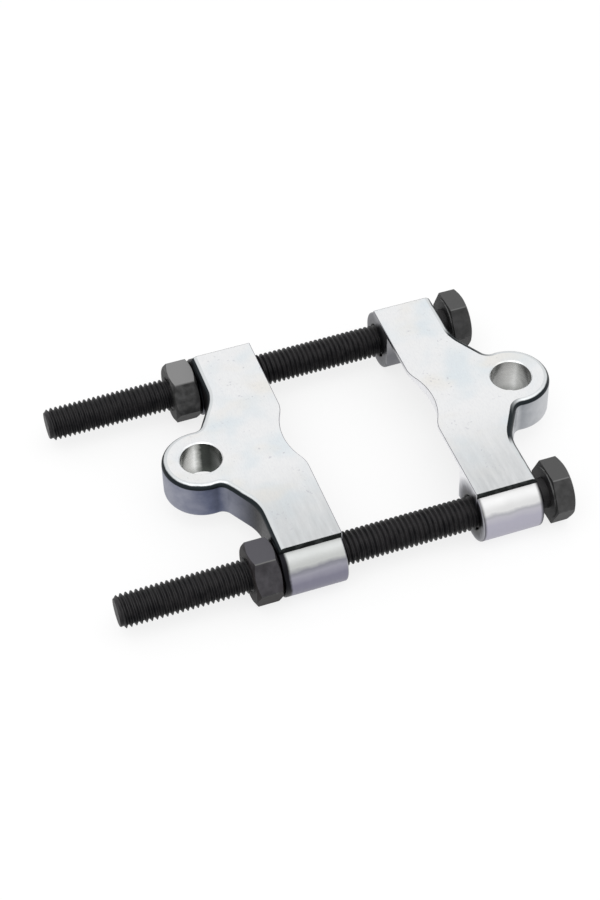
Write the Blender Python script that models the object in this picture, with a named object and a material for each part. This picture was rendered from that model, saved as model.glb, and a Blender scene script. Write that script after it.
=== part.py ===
"""Bearing separator: two forged halves drawn together by two long bolts and their nuts.

Metres, +Z up. X runs along the bolts, with the heads at +X. The origin is the middle of the
part's outline, on the surface that the end barrels rest on.

Each half is one forging: a clamping bar with a ground flat top, a lug with a puller hole on its
outer side, a notched knife edge on its inner side and a round barrel at each end for a bolt.
Both halves are the same forging, and the left one is turned half a turn about the vertical.
The bolts run through plain bores, and the nuts on their threads push the left half.
"""

import math

import bmesh
import bpy
from mathutils import Matrix, Vector

MM = 0.001

# Layout
BOLT_SPACING = 78.0 * MM
JAW_OPENING = 40.8 * MM

# Clamping bar and its end barrels
BAR_WIDTH = 19.0 * MM
BAR_THICKNESS = 12.7 * MM
TOP_ABOVE_BOLT_AXIS = 10.3 * MM
TOP_OVERHANG = 2.7 * MM
BARREL_RADIUS = 8.9 * MM
BARREL_CHAMFER = 0.5 * MM
BARREL_PROUD = 0.2 * MM
BORE_CHAMFER = 0.4 * MM

# Knife edge and its notch
NOTCH_DEPTH = 3.2 * MM
NOTCH_RADIUS = 21.2 * MM
NOTCH_MOUTH_ROUND = 10.0 * MM
KNIFE_LAND = 1.2 * MM
KNIFE_ANGLE = math.radians(35.0)
KNIFE_END_LAND = 0.6 * MM

# Lug, and the shoulders that run out to it
LUG_REACH = 28.7 * MM
LUG_RADIUS = 11.7 * MM
LUG_HOLE_RADIUS = 6.2 * MM
LUG_HOLE_CHAMFER = 0.35 * MM
SHOULDER_SPACING = 46.2 * MM
SHOULDER_ANGLE = math.radians(30.0)
SHOULDER_FILLET = 14.0 * MM
NECK_FILLET = 3.0 * MM

# Rounding of the forging's outer edges
TOP_EDGE_ROUND = 1.8 * MM
UNDERSIDE_EDGE_ROUND = 1.2 * MM

# Bolts and nuts
THREAD_RADIUS = 5.0 * MM
THREAD_PITCH = 1.5 * MM
THREAD_DEPTH = 0.85 * MM
BOLT_LENGTH = 130.0 * MM
HEX_ACROSS_FLATS = 17.0 * MM
HEX_CHAMFER_RADIUS = 8.1 * MM
HEX_CHAMFER_ANGLE = math.radians(30.0)
HEAD_HEIGHT = 6.4 * MM
WASHER_FACE_RADIUS = 7.8 * MM
WASHER_FACE_HEIGHT = 0.4 * MM
NUT_HEIGHT = 8.0 * MM
HEX_TURN = math.radians(56.0)
REAR_NUT_TURN = math.radians(64.0)

# Clearances and seats
BORE_CLEARANCE = 0.3 * MM
THREAD_CLEARANCE = 0.3 * MM
NUT_SEAT_GAP = 0.3 * MM
HEAD_STAND_OFF = 3.7 * MM

# Facets
ROUND_SIDES = 48
BORE_SIDES = 40
THREAD_SIDES = 10
ARC_STEP = math.radians(9.0)
EDGE_SEGMENTS = 3
CUT_MARGIN = 4.0 * MM
MOUTH_OVERLAP = 0.05 * MM
MERGE_DISTANCE = 0.0001 * MM
THREAD_SEAM = 0.002 * MM

# Places that follow from the sizes
BOLT_Y = BOLT_SPACING / 2
BOLT_Z = BARREL_RADIUS
TOP_Z = BOLT_Z + TOP_ABOVE_BOLT_AXIS
UNDERSIDE_Z = TOP_Z - BAR_THICKNESS
INNER_EDGE_X = JAW_OPENING / 2
OUTER_WALL_X = INNER_EDGE_X + BAR_WIDTH
BARREL_END_X = OUTER_WALL_X + BARREL_PROUD
LUG_TIP_X = INNER_EDGE_X + LUG_REACH + LUG_RADIUS
HEAD_SEAT_X = BARREL_END_X + HEAD_STAND_OFF
BOLT_TIP_X = HEAD_SEAT_X - BOLT_LENGTH
NUT_SEAT_X = -BARREL_END_X - NUT_SEAT_GAP
RIGHT_END_X = max(LUG_TIP_X, HEAD_SEAT_X + HEAD_HEIGHT)
LEFT_END_X = min(-LUG_TIP_X, BOLT_TIP_X)


def make_material(name, color, roughness, metallic):
    """One Principled BSDF finish."""
    material = bpy.data.materials.new(name)
    material.use_nodes = True
    shader = material.node_tree.nodes["Principled BSDF"]
    shader.inputs["Base Color"].default_value = (*color, 1.0)
    shader.inputs["Roughness"].default_value = roughness
    shader.inputs["Metallic"].default_value = metallic
    return material


def add_empty(name, parent=None):
    """An axis system that carries other objects."""
    empty = bpy.data.objects.new(name, None)
    bpy.context.scene.collection.objects.link(empty)
    empty.parent = parent
    return empty


def add_solid(name, bm, parent):
    """Write a bmesh into a new object, smooth apart from its sharp edges."""
    bmesh.ops.remove_doubles(bm, verts=bm.verts, dist=MERGE_DISTANCE)
    bmesh.ops.recalc_face_normals(bm, faces=bm.faces)
    mesh = bpy.data.meshes.new(name)
    bm.to_mesh(mesh)
    bm.free()
    mesh.shade_smooth()
    mesh.set_sharp_from_angle(angle=math.radians(35.0))
    solid = bpy.data.objects.new(name, mesh)
    bpy.context.scene.collection.objects.link(solid)
    solid.parent = parent
    return solid


def combine(body, label, bm, operation):
    """Join, cut or trim a body with another solid, which stays as a hidden guide."""
    tool = add_solid(f"{body.name}_{label}", bm, body)
    tool.hide_render = True
    tool.display_type = "WIRE"
    modifier = body.modifiers.new(label, "BOOLEAN")
    modifier.operation = operation
    modifier.solver = "EXACT"
    modifier.object = tool


def arc(center, radius, start, end):
    """Points of a flat arc from one angle to the other, both ends included."""
    steps = max(2, math.ceil(abs(end - start) / ARC_STEP))
    points = []
    for index in range(steps + 1):
        angle = start + (end - start) * index / steps
        points.append(center + radius * Vector((math.cos(angle), math.sin(angle))))
    return points


def prism(outline, direction):
    """A closed outline of 3D points, pushed along a direction."""
    bm = bmesh.new()
    face = bm.faces.new([bm.verts.new(point) for point in outline])
    pushed = bmesh.ops.extrude_face_region(bm, geom=[face])
    moved = [item for item in pushed["geom"] if isinstance(item, bmesh.types.BMVert)]
    bmesh.ops.translate(bm, verts=moved, vec=direction)
    bmesh.ops.recalc_face_normals(bm, faces=bm.faces)
    return bm


def turned(profile, sides):
    """Spin a profile of (x, radius) points, which starts and ends on the axis, about X."""
    bm = bmesh.new()
    verts = [bm.verts.new((x, radius, 0.0)) for x, radius in profile]
    edges = [bm.edges.new(pair) for pair in zip(verts, verts[1:])]
    bmesh.ops.spin(
        bm,
        geom=verts + edges,
        axis=(1.0, 0.0, 0.0),
        cent=(0.0, 0.0, 0.0),
        angle=math.tau,
        steps=sides,
        use_merge=True,
    )
    return bm


def through_hole(start, length, radius, chamfer):
    """A cutter for a hole along X. Its cones run on past both mouths and chamfer them.

    It is turned by a quarter of a facet, so that its corners line up with no facet of the
    round ends that it cuts.
    """
    end = start + length
    wide = radius + chamfer + CUT_MARGIN
    profile = [
        (start - CUT_MARGIN, 0.0),
        (start - CUT_MARGIN, wide),
        (start + chamfer, radius),
        (end - chamfer, radius),
        (end + CUT_MARGIN, wide),
        (end + CUT_MARGIN, 0.0),
    ]
    bm = turned(profile, BORE_SIDES)
    quarter_facet = Matrix.Rotation(math.tau / BORE_SIDES / 4, 3, "X")
    bmesh.ops.rotate(bm, verts=bm.verts, cent=(0.0, 0.0, 0.0), matrix=quarter_facet)
    return bm


def outer_side():
    """Outer outline of a half seen from above, from the lug's tip to the bar's far end.

    It runs round the lug, through the neck fillet, along the sloping shoulder and through a
    wide fillet to the bar's outer wall. X = 0 is the knife edge and Y = 0 the middle.
    """
    lug_center = Vector((LUG_REACH, 0.0))
    corner = Vector((BAR_WIDTH, SHOULDER_SPACING / 2))
    slope = Vector((math.sin(SHOULDER_ANGLE), -math.cos(SHOULDER_ANGLE)))
    outward = Vector((math.cos(SHOULDER_ANGLE), math.sin(SHOULDER_ANGLE)))

    # The neck fillet touches the shoulder's line and the round of the lug
    start = corner + outward * NECK_FILLET
    to_lug = lug_center - start
    reach = math.sqrt((LUG_RADIUS + NECK_FILLET) ** 2 - to_lug.dot(outward) ** 2)
    neck_center = start + slope * (to_lug.dot(slope) - reach)
    from_lug = neck_center - lug_center
    lug_angle = math.atan2(from_lug.y, from_lug.x)
    lug = arc(lug_center, LUG_RADIUS, 0.0, lug_angle)
    neck = arc(neck_center, NECK_FILLET, lug_angle - math.pi, SHOULDER_ANGLE - math.pi)

    # The shoulder fillet touches the same line and the bar's outer wall
    run = SHOULDER_FILLET * math.tan(SHOULDER_ANGLE / 2)
    fillet_center = corner + Vector((SHOULDER_FILLET, run))
    shoulder = arc(fillet_center, SHOULDER_FILLET, math.pi + SHOULDER_ANGLE, math.pi)
    return lug + neck[1:] + shoulder


def plate():
    """The bar, shoulders and lug as one plate, with its outer edges rounded."""
    end_y = BOLT_Y + TOP_OVERHANG
    far = outer_side() + [Vector((BAR_WIDTH, end_y)), Vector((0.0, end_y))]
    near = [Vector((point.x, -point.y)) for point in reversed(far[1:])]
    outline = [Vector((point.x, point.y, UNDERSIDE_Z)) for point in far + near]
    bm = prism(outline, Vector((0.0, 0.0, BAR_THICKNESS)))
    round_outer_edges(bm, TOP_Z, TOP_EDGE_ROUND)
    round_outer_edges(bm, UNDERSIDE_Z, UNDERSIDE_EDGE_ROUND)
    return bm


def round_outer_edges(bm, level, radius):
    """Round the edges along the outer side at one level, and leave the others sharp."""
    edges = []
    for edge in bm.edges:
        at_level = all(abs(vert.co.z - level) < MERGE_DISTANCE for vert in edge.verts)
        outside = all(vert.co.x > BAR_WIDTH - MERGE_DISTANCE for vert in edge.verts)
        if at_level and outside:
            edges.append(edge)
    bmesh.ops.bevel(
        bm,
        geom=edges,
        offset=radius,
        offset_type="OFFSET",
        segments=EDGE_SEGMENTS,
        profile=0.5,
        affect="EDGES",
        clamp_overlap=False,
        material=-1,
    )


def barrel(side):
    """A round barrel on one bolt's axis, as long as the bar is wide.

    Its machined outer end stands a little proud of the bar's wall, for the nut to bear on, and
    its inner end lies back by as much, so that the knife edges meet first.
    """
    profile = [
        (0.0, 0.0),
        (0.0, BARREL_RADIUS - BARREL_CHAMFER),
        (BARREL_CHAMFER, BARREL_RADIUS),
        (BAR_WIDTH - BARREL_CHAMFER, BARREL_RADIUS),
        (BAR_WIDTH, BARREL_RADIUS - BARREL_CHAMFER),
        (BAR_WIDTH, 0.0),
    ]
    bm = turned(profile, ROUND_SIDES)
    bmesh.ops.translate(bm, verts=bm.verts, vec=(BARREL_PROUD, side * BOLT_Y, BOLT_Z))
    return bm


def bolt_bore(side):
    """Cutter for the clearance bore of one barrel."""
    bm = through_hole(0.0, BAR_WIDTH + BARREL_PROUD, THREAD_RADIUS + BORE_CLEARANCE, BORE_CHAMFER)
    bmesh.ops.translate(bm, verts=bm.verts, vec=(0.0, side * BOLT_Y, BOLT_Z))
    return bm


def lug_hole():
    """Cutter for the upright puller hole through the lug."""
    bm = through_hole(UNDERSIDE_Z, BAR_THICKNESS, LUG_HOLE_RADIUS, LUG_HOLE_CHAMFER)
    upright = Matrix.Rotation(-math.pi / 2, 3, "Y")
    bmesh.ops.rotate(bm, verts=bm.verts, cent=(0.0, 0.0, 0.0), matrix=upright)
    bmesh.ops.translate(bm, verts=bm.verts, vec=(LUG_REACH, 0.0, 0.0))
    return bm


def notch():
    """Cutter for the shallow round notch in the knife edge, whose mouth is softly rounded."""
    notch_center = Vector((NOTCH_DEPTH - NOTCH_RADIUS, 0.0))
    span = NOTCH_RADIUS + NOTCH_MOUTH_ROUND
    mouth_x = NOTCH_MOUTH_ROUND - MOUTH_OVERLAP
    step = mouth_x - notch_center.x
    mouth_center = Vector((mouth_x, math.sqrt(span ** 2 - step ** 2)))
    touch = math.atan2(mouth_center.y, step)
    far = arc(notch_center, NOTCH_RADIUS, 0.0, touch)
    far += arc(mouth_center, NOTCH_MOUTH_ROUND, math.pi + touch, math.pi)[1:]
    far.append(Vector((-CUT_MARGIN, mouth_center.y)))
    near = [Vector((point.x, -point.y)) for point in reversed(far[1:])]
    level = UNDERSIDE_Z - CUT_MARGIN
    outline = [Vector((point.x, point.y, level)) for point in far + near]
    return prism(outline, Vector((0.0, 0.0, BAR_THICKNESS + 2 * CUT_MARGIN)))


def knife_bevel():
    """Cutter that slopes the underside up to the thin land of the knife edge.

    It runs between the two barrels and leaves them, and a narrow land beside them, at full depth.
    """
    slope = math.tan(KNIFE_ANGLE)
    edge_z = TOP_Z - KNIFE_LAND
    floor_z = UNDERSIDE_Z - CUT_MARGIN
    section = [
        (-CUT_MARGIN, edge_z + CUT_MARGIN * slope),
        ((edge_z - floor_z) / slope, floor_z),
        (-CUT_MARGIN, floor_z),
    ]
    reach = BOLT_Y - BARREL_RADIUS - KNIFE_END_LAND
    outline = [Vector((x, -reach, z)) for x, z in section]
    return prism(outline, Vector((0.0, 2 * reach, 0.0)))


def build_half(name, parent, heading, material):
    """One forging. A heading of 0 faces the knife edge to -X, and half a turn to +X."""
    half = add_solid(name, plate(), parent)
    half.data.materials.append(material)
    half.rotation_euler.z = heading
    half.location.x = INNER_EDGE_X * math.cos(heading)
    combine(half, "near_barrel", barrel(-1), "UNION")
    combine(half, "far_barrel", barrel(1), "UNION")
    combine(half, "knife_bevel", knife_bevel(), "DIFFERENCE")
    combine(half, "notch", notch(), "DIFFERENCE")
    combine(half, "lug_hole", lug_hole(), "DIFFERENCE")
    combine(half, "near_bore", bolt_bore(-1), "DIFFERENCE")
    combine(half, "far_bore", bolt_bore(1), "DIFFERENCE")


def hex_stock(start, end, turn):
    """Hexagonal bar along X, with a corner at the turn angle from +Y towards +Z."""
    corner_radius = HEX_ACROSS_FLATS / math.sqrt(3.0)
    outline = []
    for index in range(6):
        angle = turn + index * math.tau / 6
        outline.append(Vector((start, corner_radius * math.cos(angle), corner_radius * math.sin(angle))))
    return prism(outline, Vector((end - start, 0.0, 0.0)))


def head_trim(start, end):
    """Turned shape of a head: its cone takes the corners off the outer end."""
    start -= CUT_MARGIN
    crown = HEX_CHAMFER_RADIUS + (end - start) / math.tan(HEX_CHAMFER_ANGLE)
    profile = [(start, 0.0), (start, crown), (end, HEX_CHAMFER_RADIUS), (end, 0.0)]
    return turned(profile, ROUND_SIDES)


def nut_trim(start, end):
    """Turned shape of a nut: two cones take the corners off both ends."""
    middle = (start + end) / 2
    crown = HEX_CHAMFER_RADIUS + (end - middle) / math.tan(HEX_CHAMFER_ANGLE)
    profile = [
        (start, 0.0),
        (start, HEX_CHAMFER_RADIUS),
        (middle, crown),
        (end, HEX_CHAMFER_RADIUS),
        (end, 0.0),
    ]
    return turned(profile, ROUND_SIDES)


def washer_face(start, end):
    """The round face that a head bears on, which runs a little way into the hexagon."""
    profile = [(start, 0.0), (start, WASHER_FACE_RADIUS), (end, WASHER_FACE_RADIUS), (end, 0.0)]
    return turned(profile, ROUND_SIDES)


def thread(start, end):
    """The threaded shank: one sharp tooth swept along its helix and cut off flat at both ends."""
    tip = start - 2 * THREAD_PITCH
    root = THREAD_RADIUS - THREAD_DEPTH
    turns = math.ceil((end - tip) / THREAD_PITCH) + 2
    bm = bmesh.new()
    tooth = [(tip, root), (tip + THREAD_PITCH / 2, THREAD_RADIUS), (tip + THREAD_PITCH, root)]
    verts = [bm.verts.new((x, radius, 0.0)) for x, radius in tooth]
    edges = [bm.edges.new(pair) for pair in zip(verts, verts[1:])]
    bmesh.ops.spin(
        bm,
        geom=verts + edges,
        axis=(1.0, 0.0, 0.0),
        cent=(0.0, 0.0, 0.0),
        dvec=(THREAD_PITCH / THREAD_SIDES, 0.0, 0.0),
        angle=math.tau * turns,
        steps=THREAD_SIDES * turns,
        use_merge=False,
    )
    bmesh.ops.remove_doubles(bm, verts=bm.verts, dist=THREAD_SEAM)
    for place, outward in ((start, -1.0), (end, 1.0)):
        cut_flat(bm, place, outward)
    chamfer_tip(bm, start)
    return bm


def cut_flat(bm, place, outward):
    """Cut a sweep off across X and close it with a flat face."""
    cut = bmesh.ops.bisect_plane(
        bm,
        geom=[*bm.verts, *bm.edges, *bm.faces],
        dist=MERGE_DISTANCE,
        plane_co=(place, 0.0, 0.0),
        plane_no=(outward, 0.0, 0.0),
        clear_outer=True,
    )
    rim = [item for item in cut["geom_cut"] if isinstance(item, bmesh.types.BMEdge)]
    bmesh.ops.contextual_create(bm, geom=rim)


def chamfer_tip(bm, tip):
    """Draw the thread in to a cone of 45 degrees that starts at half its depth."""
    for vert in bm.verts:
        radius = math.hypot(vert.co.y, vert.co.z)
        limit = THREAD_RADIUS - THREAD_DEPTH / 2 + vert.co.x - tip
        if radius > limit:
            vert.co.y *= limit / radius
            vert.co.z *= limit / radius


def build_bolt(name, parent, side, material):
    """A long bolt about its own axis: chamfered hexagon head, washer face and threaded shank."""
    start = HEAD_SEAT_X + WASHER_FACE_HEIGHT
    inside = start + WASHER_FACE_HEIGHT
    end = HEAD_SEAT_X + HEAD_HEIGHT
    bolt = add_solid(name, hex_stock(start, end + CUT_MARGIN, HEX_TURN), parent)
    bolt.data.materials.append(material)
    bolt.location = (0.0, side * BOLT_Y, BOLT_Z)
    combine(bolt, "head_trim", head_trim(start, end), "INTERSECT")
    combine(bolt, "washer_face", washer_face(HEAD_SEAT_X, inside), "UNION")
    combine(bolt, "thread", thread(BOLT_TIP_X, inside), "UNION")


def build_nut(name, parent, side, turn, material):
    """A hexagon nut about its own axis, chamfered at both ends, with a countersunk hole."""
    end = NUT_SEAT_X
    start = end - NUT_HEIGHT
    nut = add_solid(name, hex_stock(start - CUT_MARGIN, end + CUT_MARGIN, turn), parent)
    nut.data.materials.append(material)
    nut.location = (0.0, side * BOLT_Y, BOLT_Z)
    combine(nut, "trim", nut_trim(start, end), "INTERSECT")
    hole = through_hole(start, NUT_HEIGHT, THREAD_RADIUS + THREAD_CLEARANCE, THREAD_PITCH / 4)
    combine(nut, "hole", hole, "DIFFERENCE")


def main():
    """Build the separator at rest."""
    for existing in list(bpy.data.objects):
        bpy.data.objects.remove(existing, do_unlink=True)
    plated_steel = make_material("plated_steel", (0.78, 0.79, 0.80), 0.30, 1.0)
    black_steel = make_material("black_steel", (0.035, 0.034, 0.036), 0.45, 0.6)

    separator = add_empty("separator")
    separator.location.x = -(LEFT_END_X + RIGHT_END_X) / 2
    left_travel = add_empty("left_travel", separator)
    build_half("separator_half_right", separator, 0.0, plated_steel)
    build_half("separator_half_left", left_travel, math.pi, plated_steel)
    build_bolt("clamp_bolt_front", separator, -1, black_steel)
    build_bolt("clamp_bolt_rear", separator, 1, black_steel)
    build_nut("hex_nut_front", left_travel, -1, HEX_TURN, black_steel)
    build_nut("hex_nut_rear", left_travel, 1, REAR_NUT_TURN, black_steel)


main()
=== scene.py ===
"""Looks of the bearing separator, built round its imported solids.

Two forged halves with ground tops are drawn together by two long black bolts and their nuts.
Everything is in metres, in the row frame: +X runs along the bolts towards their heads, +Y to the
rear bolt and +Z up. Each sub-assembly is a class that holds its sizes and builds its own pieces.
"""

from __future__ import annotations

import logging
import math
from abc import ABC, abstractmethod
from dataclasses import dataclass, field
from enum import Enum
from typing import Callable, Sequence, Union

import bmesh
import bpy
from bmesh.types import BMEdge, BMesh, BMFace, BMVert
from bpy.types import Material, Node, NodeSocket
from mathutils import Euler, Matrix, Vector


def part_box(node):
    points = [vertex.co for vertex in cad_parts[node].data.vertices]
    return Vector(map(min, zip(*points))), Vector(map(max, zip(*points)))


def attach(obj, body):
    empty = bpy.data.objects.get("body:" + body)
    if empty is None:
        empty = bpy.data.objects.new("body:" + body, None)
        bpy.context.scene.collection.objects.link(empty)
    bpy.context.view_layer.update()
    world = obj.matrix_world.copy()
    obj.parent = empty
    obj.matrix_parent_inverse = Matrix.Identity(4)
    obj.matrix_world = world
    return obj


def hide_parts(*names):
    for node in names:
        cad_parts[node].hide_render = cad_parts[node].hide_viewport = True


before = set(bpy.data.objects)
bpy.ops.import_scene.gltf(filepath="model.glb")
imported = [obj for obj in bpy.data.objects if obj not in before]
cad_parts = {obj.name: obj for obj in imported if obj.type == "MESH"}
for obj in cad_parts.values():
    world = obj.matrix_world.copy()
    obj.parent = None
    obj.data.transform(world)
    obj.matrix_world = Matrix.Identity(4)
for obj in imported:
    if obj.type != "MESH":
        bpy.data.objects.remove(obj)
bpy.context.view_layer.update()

MM = 0.001
# Distance below which two points count as one
NEAR = 1e-6
# How far a cutter runs on past the solid that it cuts
CUTTER_MARGIN = 4.0 * MM
# Along X, where a finish of the left half fades into that of the right half
HALVES_BORDER = (0.0, 20.0 * MM)
NOISE_AVERAGE = 0.5
# Least part of a normal along an axis where a face looks along it, roughly and exactly
SQUARE_ON = 0.9
LEVEL = 0.99
# Weight of large faces over small ones in the shading of an edge between them
FACE_WEIGHT = 100
LOG = logging.getLogger("bearing_separator")

Color = tuple[float, float, float]
Band = tuple[float, float]
Stops = tuple[tuple[float, Color], ...]
Profile = Sequence[tuple[float, float]]
Number = Union[float, "Value"]
Finishes = dict[Enum, Material]


class Boolean(Enum):
    """How one solid changes another."""

    JOIN = "UNION"
    CUT = "DIFFERENCE"
    TRIM = "INTERSECT"


class Side(Enum):
    """Which of the two bolts a piece belongs to."""

    FRONT = "front"
    REAR = "rear"


class Hand(Enum):
    """Which half, and the way its knife edge faces."""

    RIGHT = "right"
    LEFT = "left"

    @property
    def heading(self) -> float:
        """Angle about the vertical: the right half's knife edge faces -X."""
        return 0.0 if self is Hand.RIGHT else math.pi


class ForgingZone(Enum):
    """Kinds of surface on a forged half, in the order of its material slots."""

    GROUND_TOP = 0
    FORGED_SKIN = 1
    TURNED_BARREL = 2
    PULLER_HOLE = 3
    INNER_WALL = 4
    # Painted black shade
    SHADE_BLACK = 5


class HardwareZone(Enum):
    """Kinds of surface on the bolts and nuts, in the order of their material slots."""

    THREAD = 0
    HEXAGON = 1
    RUBBED_EDGE = 2


# Shader nodes


class Value:
    """A node socket that takes part in plain arithmetic and adds Math nodes for it."""

    def __init__(self, nodes: "Nodes", socket: NodeSocket) -> None:
        """Wrap one output socket of a tree of nodes."""
        self.nodes = nodes
        self.socket = socket

    def _math(self, operation: str, *terms: Number) -> "Value":
        """Apply a Math node's operation to numbers or values."""
        node = self.nodes.node("ShaderNodeMath", {"operation": operation}, dict(enumerate(terms)))
        return Value(self.nodes, node.outputs[0])

    def __add__(self, other: Number) -> "Value":
        """Sum."""
        return self._math("ADD", self, other)

    def __radd__(self, other: Number) -> "Value":
        """Sum with a number on the left."""
        return self._math("ADD", other, self)

    def __sub__(self, other: Number) -> "Value":
        """Difference."""
        return self._math("SUBTRACT", self, other)

    def __rsub__(self, other: Number) -> "Value":
        """Difference with a number on the left."""
        return self._math("SUBTRACT", other, self)

    def __mul__(self, other: Number) -> "Value":
        """Product."""
        return self._math("MULTIPLY", self, other)

    def __rmul__(self, other: Number) -> "Value":
        """Product with a number on the left."""
        return self._math("MULTIPLY", other, self)

    def root(self) -> "Value":
        """Square root."""
        return self._math("SQRT", self)

    def size(self) -> "Value":
        """The value without its sign."""
        return self._math("ABSOLUTE", self)

    def larger(self, other: Number) -> "Value":
        """The larger of two values."""
        return self._math("MAXIMUM", self, other)

    def swing(self, amount: float) -> "Value":
        """Noise turned into a swing to both sides of 0."""
        return (self - NOISE_AVERAGE) * amount

    def blend(self, band: Band, course: str = "SMOOTHSTEP") -> "Value":
        """Blend from 0 to 1 between two levels.

        Args:
            band: Level at which the blend is 0, and level at which it is 1.
            course: The Map Range node's interpolation.

        Returns:
            The blend.
        """
        inputs = {"Value": self, "From Min": band[0], "From Max": band[1]}
        node = self.nodes.node("ShaderNodeMapRange", {"interpolation_type": course}, inputs)
        return Value(self.nodes, node.outputs["Result"])


class Nodes:
    """A tree of shader nodes, and the one way in which nodes are added to it."""

    def __init__(self, tree: bpy.types.NodeTree) -> None:
        """Take the tree of a material or of the world."""
        self.tree = tree

    def node(self, kind: str, settings: dict, inputs: dict) -> Node:
        """Add a node.

        Args:
            kind: The node's type.
            settings: Attributes that are set first, or a ramp's stops under "stops".
            inputs: Values or links by socket name or number.

        Returns:
            The node.
        """
        node = self.tree.nodes.new(kind)
        for key, value in settings.items():
            if key == "stops":
                self._set_stops(node.color_ramp, value)
            else:
                setattr(node, key, value)
        self.feed(node, inputs)
        return node

    def feed(self, node: Node, inputs: dict) -> None:
        """Link a node's sockets to values or other sockets, or set them to numbers or colours.

        Args:
            node: The node.
            inputs: What feeds it, by socket name or number.
        """
        for key, value in inputs.items():
            socket = node.inputs[key]
            if isinstance(value, Value):
                value = value.socket
            if isinstance(value, NodeSocket):
                self.tree.links.new(value, socket)
            elif isinstance(value, tuple) and socket.type == "RGBA":
                socket.default_value = (*value, 1.0)
            else:
                socket.default_value = value

    @staticmethod
    def _set_stops(ramp: bpy.types.ColorRamp, stops: Stops) -> None:
        """Give a colour ramp its stops.

        Args:
            ramp: The ramp.
            stops: Position and colour of each stop, in order.
        """
        while len(ramp.elements) < len(stops):
            ramp.elements.new(1.0)
        for element, (position, color) in zip(ramp.elements, stops):
            element.position = position
            element.color = (*color, 1.0)

    def seen(self) -> Value:
        """Factor that is 1 for what the camera sees, directly or in a surface.

        Returns:
            The factor.
        """
        path = self.node("ShaderNodeLightPath", {}, {})
        camera, glossy, through = (
            Value(self, path.outputs[f"Is {ray} Ray"]) for ray in ("Camera", "Glossy", "Transmission")
        )
        return camera.larger(glossy).larger(through)


# A finish's colour, the noise in its roughness and the noise in its relief
Layers = tuple[NodeSocket, Value, Value]


@dataclass(frozen=True)
class Grain:
    """A noise pattern: size of its patches, octaves of finer variation and stretch by axis."""

    size: float
    detail: float = 3.0
    stretch: Color = (1.0, 1.0, 1.0)
    fineness: float = 0.55


@dataclass(frozen=True)
class Coat:
    """A colour that fades in while a pattern rises through a band, up to a share."""

    color: Color
    band: Band
    share: float = 1.0


class Shader(Nodes):
    """One material's nodes, with short ways to add those that the finishes need."""

    def __init__(self, name: str) -> None:
        """Start a material with a Principled BSDF."""
        self.material = bpy.data.materials.new(name)
        self.material.use_nodes = True
        super().__init__(self.material.node_tree)
        self.surface = self.tree.nodes["Principled BSDF"]
        self.output = self.tree.nodes["Material Output"]
        space = self.node("ShaderNodeTexCoord", {}, {})
        self.place = space.outputs["Object"]
        self.normal = space.outputs["Normal"]

    def noise(self, grain: Grain) -> Value:
        """Soft random variation.

        Args:
            grain: The pattern.

        Returns:
            The variation, about 0.5 on average.
        """
        scale = tuple(1.0 / (grain.size * factor) for factor in grain.stretch)
        place = self.node("ShaderNodeMapping", {}, {"Vector": self.place, "Scale": scale})
        inputs = {
            "Vector": place.outputs[0], "Scale": 1.0,
            "Detail": grain.detail, "Roughness": grain.fineness,
        }
        return Value(self, self.node("ShaderNodeTexNoise", {}, inputs).outputs[0])

    def _part(self, vector: NodeSocket, axis: str) -> Value:
        """One component of a vector."""
        return Value(self, self.node("ShaderNodeSeparateXYZ", {}, {0: vector}).outputs[axis])

    def facing(self, axis: str) -> Value:
        """How far the surface faces along an axis of the object, from -1 to 1."""
        return self._part(self.normal, axis)

    def along(self, axis: str) -> Value:
        """Where the surface lies along an axis of the object, in metres."""
        return self._part(self.place, axis)

    def off(self, axis: str, center: float = 0.0) -> Value:
        """How far the surface lies from a place on an axis, to either side."""
        return (self.along(axis) - center).size()

    def on_right(self) -> Value:
        """Factor that is 0 on the left half and 1 on the right one."""
        return self.along("X").blend(HALVES_BORDER)

    def ramp(self, level: Number, stops: Stops) -> NodeSocket:
        """Colours along a level from 0 to 1."""
        return self.node("ShaderNodeValToRGB", {"stops": stops}, {"Fac": level}).outputs["Color"]

    def mix(self, factor: Number, first: object, second: object) -> NodeSocket:
        """Mix two colours.

        Args:
            factor: 0 for the first, 1 for the second.
            first: Colour or socket.
            second: Colour or socket.

        Returns:
            The mixed colour's socket.
        """
        settings = {"data_type": "RGBA", "clamp_factor": True}
        node = self.node("ShaderNodeMix", settings, {0: factor, 6: first, 7: second})
        return node.outputs[2]

    def coat(
        self, ground: object, pattern: Value, coat: Coat, within: Number = 1.0
    ) -> NodeSocket:
        """Lay a coat on a colour where a pattern is high, within a mask."""
        return self.mix(pattern.blend(coat.band) * (coat.share * within), ground, coat.color)

    def bump(self, height: Value, depth: float, strength: float) -> NodeSocket:
        """Turn a height into a bumped normal."""
        inputs = {"Height": height, "Distance": depth, "Strength": strength}
        return self.node("ShaderNodeBump", {}, inputs).outputs[0]


# Finishes


@dataclass(frozen=True)
class Sheen:
    """Roughness of a finish, depth and strength of its relief, and the grain's part in each."""

    roughness: float
    unevenness: float
    depth: float
    strength: float


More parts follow.
